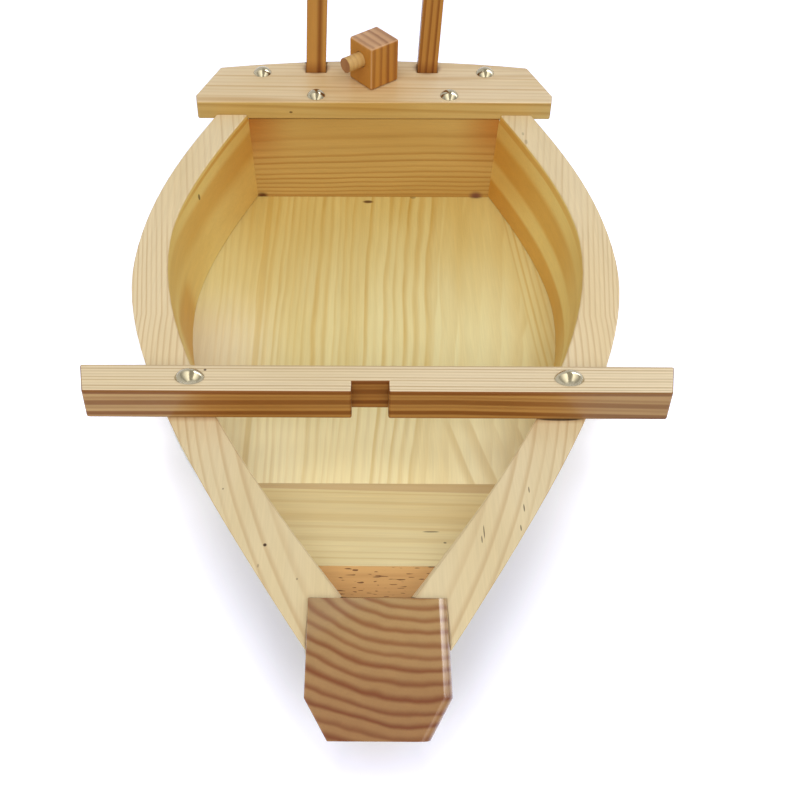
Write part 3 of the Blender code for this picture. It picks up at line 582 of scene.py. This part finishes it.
def deck_pine():
    """The stern deck: pale with honey-coloured streaks on top, darker on its front edge, with painted shade
    round the rudder head and painted shadow round the feet of the posts.
    """
    wood = Wood("deck_pine", X)
    across = wood.y + wood.x * 0.02 + wood.z * 0.8 + wood.grain(6.0, 26.0) * 0.0010
    lines = wood.rings(across / 0.0036 + wood.noise(across * 150.0, 6.3, 0.0) * 0.5, least=0.2) * 0.7
    streak = wood.grain(8.0, 95.0, 8.8, 1.0).ramp(0.0, 0.5) * 0.75
    edge = abs(wood.nz).ramp(0.80, 0.45)
    late = wood.largest(lines, streak)
    colour = wood.mix(edge, wood.tint(DECK_TOP, late), wood.tint(DECK_FRONT, lines))
    # Painted shade: the deck is darker and warmer round the foot of the rudder head.
    head_shade = wood.speck((-0.004, 0.176, DECK_TOP_Z), (0.040, 0.030, 0.012))
    colour = wood.darken(colour, head_shade * 0.6, DECK_HEAD_SHADE)
    for foot in POST_FEET:
        # Painted shadow round the foot of each post.
        socket = wood.speck((foot, SOCKET_Y, DECK_TOP_Z), (0.0085, 0.0075, 0.006), 0.55)
        colour = wood.darken(colour, socket * 0.75, SOCKET_SHADOW)
    colour = wood.mark(colour, (-0.0435, 0.1605, 0.0574), (0.0011, 0.003, 0.0007), depth=0.75)
    return wood.seal(colour, late)


def beam_pine():
    """The beam: pale with fine lines on top, banded in dark orange on its sides, greyer at its ends."""
    wood = Wood("beam_pine", X)
    across = wood.y + wood.grain(7.0, 90.0) * 0.0005
    top = wood.rings(across / 0.0016, rise=0.40, peak=0.80, least=0.15)
    droop = wood.largest(wood.x - 0.03, 0.0)
    height = wood.z - wood.x * 0.006 + droop * 0.03 + wood.grain(5.0, 60.0, 4.4) * 0.0005
    band = wood.z.ramp(0.0688, 0.0698) + height.band(0.0654, 0.0008, 0.0012) * 0.85
    band = band + height.band(0.0680, 0.0003, 0.0007) * 0.4 + height.band(0.0627, 0.0003, 0.0007) * 0.35
    band = band + height.band(0.0596, 0.0006, 0.0010) * 0.95 + wood.z.ramp(0.0580, 0.0568) * 0.5
    end = wood.x.ramp(-0.064, -0.080) + wood.x.ramp(0.064, 0.094)
    even = 1.0 - wood.x.ramp(0.050, 0.085) * 0.20
    edge = abs(wood.nz).ramp(0.93, 0.75)
    sides = wood.mix(end * 0.9, wood.tint(BEAM_FRONT, band * even), wood.tint(BEAM_END, band * even))
    notch = wood.x.band(-0.0025, 0.0078, 0.0004)
    sides = wood.darken(sides, notch * 0.8, BEAM_NOTCH)
    sides = wood.darken(sides, wood.x.ramp(0.060, 0.090) * 0.8, BEAM_RIGHT)
    colour = wood.mix(edge, wood.tint(BEAM_TOP, top), sides)
    colour = wood.mark(colour, (-0.0674, -0.0507, 0.0711), (0.0007, 0.0007, 0.001))
    return wood.seal(colour, top * (1.0 - edge) + band * edge)


def post_pine(name, foot, spacing, offset, rise, peak, fall):
    """A stern post, with stripes that follow its lean, and painted shade at its foot."""
    wood = Wood(name, Z)
    across = wood.x - foot - (wood.z - DECK_TOP_Z) * POST_LEAN + (wood.y - POST_Y) * 0.25
    phase = (across + wood.grain(9.0, 60.0) * 0.0006) / spacing + offset
    lines = wood.rings(phase, rise, peak, fall, least=0.7)
    # Painted shade: the post darkens towards its foot on the deck.
    low = wood.z.ramp(0.0715, 0.0640)
    colour = wood.darken(wood.tint(POST, lines), low * 0.6, POST_FOOT_SHADE)
    return wood.seal(colour, lines)


def rail_pine():
    """The rail, with its grain across the boat."""
    wood = Wood("rail_pine", X)
    across = wood.y * 0.5 + wood.z + wood.grain(6.0, 40.0) * 0.0008
    lines = wood.rings(across / 0.0031)
    return wood.seal(wood.tint(POST, lines), lines)


def rudder_pine(name, sides, top, spacing, peg_end=None, pale_edges=0.0):
    """Upright wood of the rudder, with its rings square to the tiller. The peg has a darker end."""
    wood = Wood(name, Z)
    sine = math.sin(RUDDER_TURN)
    cosine = math.cos(RUDDER_TURN)
    back = wood.y - RUDDER_Y
    along = back * sine + wood.x * cosine
    across = back * cosine - wood.x * sine
    across = across + along * along * 4.0 + wood.grain(14.0, 70.0) * 0.0012
    lines = wood.rings(across / spacing + 0.2, rise=0.2, peak=0.75, least=0.5)
    end = wood.nz.ramp(0.45, 0.80)
    colour = wood.mix(end, wood.tint(sides, lines), wood.tint(top, lines))
    if pale_edges:
        # Paler along the rounded edges.
        facing_along = abs(wood.ny * sine + wood.nx * cosine)
        facing_across = abs(wood.ny * cosine - wood.nx * sine)
        face = wood.largest(facing_along, facing_across, abs(wood.nz))
        colour = wood.mix(face.ramp(0.96, 0.84) * pale_edges, colour, top.early)
    if peg_end:
        facing = wood.nx * sine - wood.ny * cosine
        colour = wood.mix(facing.ramp(0.70, 0.95), colour, wood.tint(peg_end, lines))
    return wood.seal(colour, lines)


def stem_pine():
    """The stem, with the rings of its end grain on top, running down along its rake."""
    wood = Wood("stem_pine", Z)
    heart_x, heart_y, heart_z = STEM_HEART
    raked = wood.y - heart_y - (heart_z - wood.z) * math.tan(STEM_RAKE)
    side = wood.x - heart_x + wood.grain(22.0, 45.0) * 0.0018
    ahead = raked + wood.grain(22.0, 50.0, 9.1) * 0.0028
    radius = (side * side + ahead * ahead) ** 0.5
    phase = radius / 0.0049 + wood.noise(radius * 70.0, 8.2, 0.0) * 0.35
    lines = wood.rings(phase, rise=0.15, peak=0.64, fall=0.95, least=0.70)
    lines = lines * (radius.ramp(0.035, 0.075) * 0.15 + 0.85)
    colour = wood.darken(wood.tint(STEM, lines), wood.y.ramp(-0.150, -0.205), STEM_TIP)
    return wood.seal(colour, lines, gloss=0.85, shine=0.15)


def block_beech():
    """Beech with short dark flecks."""
    wood = Wood("block_beech", X)
    lines = wood.grain(16.0, 260.0).ramp(0.0, 0.7) * 0.5
    flecks = wood.grain(330.0, 1500.0, 1.9, 0.0).ramp(0.42, 0.54)
    colour = wood.mix(flecks * 0.85, wood.tint(BLOCK, lines), FLECK)
    return wood.seal(colour, lines)


def metal(name, colour, roughness):
    """Polished metal with fine scratches and a slightly uneven surface."""
    graph = Graph(name)
    (x, y, z), _ = graph.surface()
    scratch = graph.noise(x * 900.0, y * 2600.0, z * 900.0, detail=3.0)
    patch = graph.noise(x * 190.0, y * 190.0, z * 190.0, detail=2.0)
    shade = [METAL_SHADE * channel for channel in colour]
    tint = graph.mix(patch.ramp(-0.6, 0.7), linear(*colour), linear(*shade))
    roughness = roughness + patch * 0.05 + scratch * 0.04
    shader = graph.coated(tint, roughness, patch + scratch * 0.15, METAL_BUMP, coat=0.0)
    shader.inputs["Metallic"].default_value = 1.0
    return graph.material


def is_corner(edge):
    """Whether an edge is a convex corner long enough to round."""
    if len(edge.link_faces) != 2 or not edge.is_convex or edge.calc_length() < SHORT_EDGE:
        return False
    return edge.calc_face_angle() > CORNER_ANGLE


def is_rim(edge, side):
    """Whether an edge runs along one side of the stem's top: 1 is the right side and -1 the left."""
    middle = (edge.verts[0].co + edge.verts[1].co) / 2
    return is_corner(edge) and middle.z > STEM_RIM_HEIGHT and middle.x * side > STEM_RIM_REACH


def is_right_rim(edge):
    return is_rim(edge, 1)


def is_left_rim(edge):
    return is_rim(edge, -1)


def is_side_corner(edge):
    """Whether an edge of a side board stays clear of the joint with the stem."""
    run = edge.verts[1].co - edge.verts[0].co
    joint = edge.verts[0].co.y < STEM_JOINT_Y and abs(run.y) < run.length * STEM_JOINT_SHARE
    return is_corner(edge) and not joint


def shown_piece(mesh, name, material):
    """A new object from a finished mesh, smooth but for its sharp edges."""
    data = bpy.data.meshes.new(name)
    mesh.to_mesh(data)
    mesh.free()
    data.materials.append(material)
    data.shade_smooth()
    data.set_sharp_from_angle(angle=SHARP_ANGLE)
    piece = bpy.data.objects.new(name, data)
    bpy.context.scene.collection.objects.link(piece)
    return piece


def dress(piece, node, body):
    """Hides a node and puts the piece that stands for it on the node's body."""
    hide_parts(node)
    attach(piece, body)


def rounded(node, material, body, roundings, seam):
    """A copy of a solid with its edges rounded and its seams closed up, standing for that solid."""
    source = frame["nodes"][node]
    mesh = bmesh.new()
    mesh.from_mesh(source.data)
    bmesh.ops.remove_doubles(mesh, verts=mesh.verts, dist=MERGE_DISTANCE)
    bmesh.ops.dissolve_limit(
        mesh,
        angle_limit=FLAT_ANGLE,
        verts=mesh.verts,
        edges=mesh.edges,
        delimit={"NORMAL"},
    )
    for vert in mesh.verts:
        vert.co += vert.normal * seam * min(vert.calc_shell_factor(), MOST_SHELL)
    for chosen, radius in roundings:
        bmesh.ops.bevel(
            mesh,
            geom=[e for e in mesh.edges if chosen(e)],
            offset=radius,
            offset_type="OFFSET",
            segments=ROUND_STEPS,
            profile=0.5,
            affect="EDGES",
            clamp_overlap=False,
            miter_outer="ARC",
        )
    piece = shown_piece(mesh, node + "_wood", material)
    piece.modifiers.new("even_normals", "WEIGHTED_NORMAL").keep_sharp = True
    dress(piece, node, body)


def domed(node, material, body, shape):
    """A nail with a smooth domed head, standing for a nail of the frame, and scaled by its shape."""
    low, high = [Vector(corner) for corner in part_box(node)]
    head = (high.x - low.x) / 2
    rise = head * HEAD_SHARE
    ball = (head * head + rise * rise) / (2 * rise)
    sweep = math.asin(head / ball)
    profile = []
    for ring in range(DOME_RINGS + 1):
        angle = sweep * ring / DOME_RINGS
        profile.append((ball * math.sin(angle), high.z - ball * (1 - math.cos(angle))))
    seat = high.z - rise
    shank = head * SHANK_SHARE
    profile += [(shank, seat), (shank, low.z + shank), (0.0, low.z)]
    mesh = bmesh.new()
    points = [mesh.verts.new((radius, 0, height)) for radius, height in profile]
    edges = [mesh.edges.new(pair) for pair in zip(points, points[1:])]
    bmesh.ops.spin(
        mesh,
        geom=points + edges,
        cent=(0, 0, 0),
        axis=(0, 0, 1),
        angle=math.tau,
        steps=DOME_STEPS,
        use_merge=True,
    )
    bmesh.ops.remove_doubles(mesh, verts=mesh.verts, dist=MERGE_DISTANCE)
    bmesh.ops.recalc_face_normals(mesh, faces=mesh.faces)
    bmesh.ops.scale(mesh, verts=mesh.verts, vec=shape)
    bmesh.ops.translate(mesh, verts=mesh.verts, vec=((low.x + high.x) / 2, (low.y + high.y) / 2, 0))
    dress(shown_piece(mesh, node + "_metal", material), node, body)


def camera():
    """A camera that looks down over the bow."""
    flat = math.cos(CAMERA_PITCH)
    ahead = Vector((-math.sin(CAMERA_YAW) * flat, math.cos(CAMERA_YAW) * flat, -math.sin(CAMERA_PITCH)))
    right = Vector((math.cos(CAMERA_YAW), math.sin(CAMERA_YAW), 0))
    up = right.cross(ahead)
    axes = Matrix((right, up, -ahead)).transposed() @ Matrix.Rotation(CAMERA_ROLL, 3, "Z")
    lens = bpy.data.cameras.new("camera")
    lens.sensor_width = SENSOR_WIDTH
    lens.lens = SENSOR_WIDTH * FOCAL_PIXELS / IMAGE_SIZE
    lens.shift_x = (IMAGE_SIZE / 2 - CENTRE_PIXEL_X) / IMAGE_SIZE
    lens.clip_start = CLIP_START
    obj = bpy.data.objects.new("camera", lens)
    obj.matrix_world = Matrix.Translation(CAMERA_PLACE) @ axes.to_4x4()
    bpy.context.scene.collection.objects.link(obj)
    bpy.context.scene.camera = obj


def lights():
    """A white sky that lights less than it shows, and three soft lamps."""
    scene = bpy.context.scene
    scene.view_settings.view_transform = "Standard"
    world = bpy.data.worlds.new("studio")
    scene.world = world
    world.use_nodes = True
    tree = world.node_tree
    tree.nodes.clear()
    paths = tree.nodes.new("ShaderNodeLightPath")
    background = tree.nodes.new("ShaderNodeBackground")
    background.inputs["Color"].default_value = (1.0, 1.0, 1.0, 1.0)
    output = tree.nodes.new("ShaderNodeOutputWorld")
    shown = tree.nodes.new("ShaderNodeMath")
    shown.operation = "MAXIMUM"
    through = tree.nodes.new("ShaderNodeMath")
    through.operation = "MAXIMUM"
    level = tree.nodes.new("ShaderNodeMapRange")
    level.inputs["To Min"].default_value = SKY_STRENGTH
    level.inputs["To Max"].default_value = 1.0
    tree.links.new(paths.outputs["Is Camera Ray"], shown.inputs[0])
    tree.links.new(paths.outputs["Is Glossy Ray"], shown.inputs[1])
    tree.links.new(shown.outputs[0], through.inputs[0])
    tree.links.new(paths.outputs["Is Transmission Ray"], through.inputs[1])
    tree.links.new(through.outputs[0], level.inputs["Value"])
    tree.links.new(level.outputs[0], background.inputs["Strength"])
    tree.links.new(background.outputs[0], output.inputs["Surface"])

    for name, (place, width, length, power) in LAMPS.items():
        light = bpy.data.lights.new(name, "AREA")
        light.shape = "RECTANGLE"
        light.size = width
        light.size_y = length
        light.energy = power
        lamp = bpy.data.objects.new(name, light)
        lamp.location = place
        lamp.visible_glossy = False
        lamp.rotation_euler = (-place).to_track_quat("-Z", "Y").to_euler()
        scene.collection.objects.link(lamp)


def panels():
    """Glowing panels above the boat that only show as reflections."""
    for name, (bright, dim, ends, colour, most, least) in PANELS.items():
        near, far = ends
        corners = [(x, near, z) for x, z in (bright, dim)] + [(x, far, z) for x, z in (dim, bright)]
        data = bpy.data.meshes.new(name)
        data.from_pydata(corners, [], [(0, 1, 2, 3)])
        panel = bpy.data.objects.new(name, data)
        bpy.context.scene.collection.objects.link(panel)
        panel.visible_camera = False
        panel.visible_diffuse = False
        panel.visible_shadow = False
        panel.visible_transmission = False
        graph = Graph(name)
        (x, _, _), _ = graph.surface()
        glow = graph.add("ShaderNodeEmission")
        graph.feed(glow.inputs["Color"], linear(*colour))
        graph.feed(glow.inputs["Strength"], x.ramp(dim[0], bright[0]) * (most - least) + least)
        graph.close(glow.outputs[0])
        data.materials.append(graph.material)


def floor():
    """A pale floor that shows brighter than it lights, so that it is white round the boat's soft shadow."""
    bpy.ops.mesh.primitive_plane_add(size=FLOOR_SIZE, location=(0, 0, -FLOOR_DROP))
    plane = bpy.context.object
    plane.name = "floor"
    graph = Graph("floor")
    (x, y, _), _ = graph.surface()
    fore = graph.math("MINIMUM", y, 0.0)
    away = abs(x - FLOOR_MIDDLE_X) + fore * fore * FLOOR_TAPER
    astern = y.ramp(*ASTERN)
    half = graph.largest(away.ramp(*HALF_ACROSS), y.ramp(*HALF_AHEAD), astern)
    clear = graph.largest(away.ramp(*CLEAR_ACROSS), y.ramp(*CLEAR_AHEAD), astern)
    far = (x * x + y * y).ramp(*FAR_SQUARED)
    gain = half * FLOOR_HALF + clear * FLOOR_CLEAR + far * FLOOR_FAR + (FLOOR_SHOWN - FLOOR_BARE)
    mottle = graph.noise(x * 40.0, y * 40.0, 0.0)
    paths = graph.add("ShaderNodeLightPath")
    seen = Signal(graph, paths.outputs["Is Camera Ray"])
    mirrored = Signal(graph, paths.outputs["Is Glossy Ray"])
    through = Signal(graph, paths.outputs["Is Transmission Ray"])
    shown = graph.largest(seen, mirrored, through)
    level = shown * gain + mottle * FLOOR_MOTTLE + FLOOR_BARE
    paper = graph.add("ShaderNodeBsdfDiffuse")
    graph.feed(paper.inputs["Color"], graph.brighten(STAGE_FLOOR[:3], level))
    graph.close(paper.outputs[0])
    plane.data.materials.append(graph.material)


camera()
lights()
panels()
floor()

# Dark marks on the side boards: the place, the reach along x, y and z, and the depth
LEFT_MARKS = [
    ((-0.0402, -0.1255, GUNWALE_Z), (0.0008, 0.0009, 0.002), 0.95),
    ((-0.0574, -0.0992, GUNWALE_Z), (0.0004, 0.0005, 0.002), 0.6),
    ((-0.0421, -0.1348, GUNWALE_Z), (0.0004, 0.0010, 0.002), 0.4),
    ((-0.0281, -0.1404, GUNWALE_Z), (0.0004, 0.0006, 0.002), 0.5),
    ((-0.0900, 0.0980, 0.0476), (0.0200, 0.0013, 0.0020), 0.75),
]
RIGHT_MARKS = [
    # Painted shadow: the first mark is the dark line on the right gunwale along the beam's edge.
    ((0.0722, -0.0621, GUNWALE_Z), (0.0105, 0.0012, 0.002), 0.85),
    ((0.0386, -0.1190, GUNWALE_Z), (0.00024, 0.0036, 0.002), 0.85),
    ((0.0376, -0.1225, GUNWALE_Z), (0.00024, 0.0020, 0.002), 0.85),
    ((0.0567, -0.0989, GUNWALE_Z), (0.0003, 0.0018, 0.002), 0.7),
    ((0.0541, -0.1077, GUNWALE_Z), (0.0003, 0.0022, 0.002), 0.8),
    ((0.0521, -0.1171, GUNWALE_Z), (0.0003, 0.0017, 0.002), 0.8),
    ((0.0767, 0.1424, GUNWALE_Z), (0.0007, 0.0018, 0.002), 0.3),
    ((0.0776, 0.1350, GUNWALE_Z), (0.0009, 0.0026, 0.002), 0.3),
]
left_wood = side_pine("side_pine_left", left_bands, LEFT_MARKS)
right_wood = side_pine("side_pine_right", right_bands, RIGHT_MARKS)
left_post_wood = post_pine("post_pine_left", POST_FEET[0], 0.0085, 0.61, 0.38, 0.68, 0.95)
right_post_wood = post_pine("post_pine_right", POST_FEET[1], 0.0034, 0.30, 0.35, 0.80, 1.0)
blade_wood = rudder_pine("blade_pine", BLADE, BLADE, 0.0036)
brass = metal("nickel_brass", (186, 177, 152), 0.16)
steel = metal("nail_steel", (178, 176, 172), 0.3)

# The wood, the slot and the rounded edges of each wooden piece
PLAIN = [(is_corner, ROUND)]
SIDES = [(is_side_corner, SIDE_ROUND)]
RIMS = [(is_right_rim, STEM_ROUND), (is_left_rim, ROUND)]
WOODS = {
    "side_left": (left_wood, "pine_side", SIDES),
    "side_right": (right_wood, "pine_side", SIDES),
    "bottom_board": (bottom_pine(), "pine_bottom", []),
    "bow_panel": (panel_pine(), "pine_bottom", []),
    "transom": (transom_pine(), "pine_honey", []),
    "stern_deck": (deck_pine(), "pine_side", [(is_corner, DECK_ROUND)]),
    "cross_beam": (beam_pine(), "pine_side", [(is_corner, BEAM_ROUND)]),
    "stem_post": (stem_pine(), "pine_end_grain", RIMS),
    "bow_block": (block_beech(), "beech", []),
    "stern_post_left": (left_post_wood, "pine_dark", PLAIN),
    "stern_post_right": (right_post_wood, "pine_dark", PLAIN),
    "stern_rail": (rail_pine(), "pine_dark", PLAIN),
    "rudder_head": (
        rudder_pine("head_pine", HEAD, HEAD_TOP, 0.0048, pale_edges=0.45),
        "pine_dark",
        [(is_corner, HEAD_ROUND)],
    ),
    "rudder_stock": (rudder_pine("stock_pine", HEAD, HEAD, 0.0043), "pine_dark", PLAIN),
    "tiller_peg": (rudder_pine("peg_pine", PEG, PEG, 0.0030, PEG_END), "pine_honey", PLAIN),
    "rudder_blade": (blade_wood, "pine_honey", PLAIN),
}
bodies = frame["record"]["behaviour"]["bodies"]
body_of = {node: body for body, nodes in bodies.items() for node in nodes}
for node, (material, slot, roundings) in WOODS.items():
    seam = SEAM if body_of[node] == "hull" else 0.0
    rounded(node, material, body_of[node], roundings, seam)

for node, obj in frame["nodes"].items():
    if node in WOODS:
        continue
    if node.startswith(("beam", "deck", "rail")):
        shape = BEAM_NAIL_SHAPE if node.startswith("beam") else PLAIN_NAIL_SHAPE
        domed(node, brass, body_of[node], shape)
        continue
    obj.data.materials.clear()
    obj.data.materials.append(blade_wood if node.startswith("blade_pin") else steel)
    obj.data.shade_smooth()
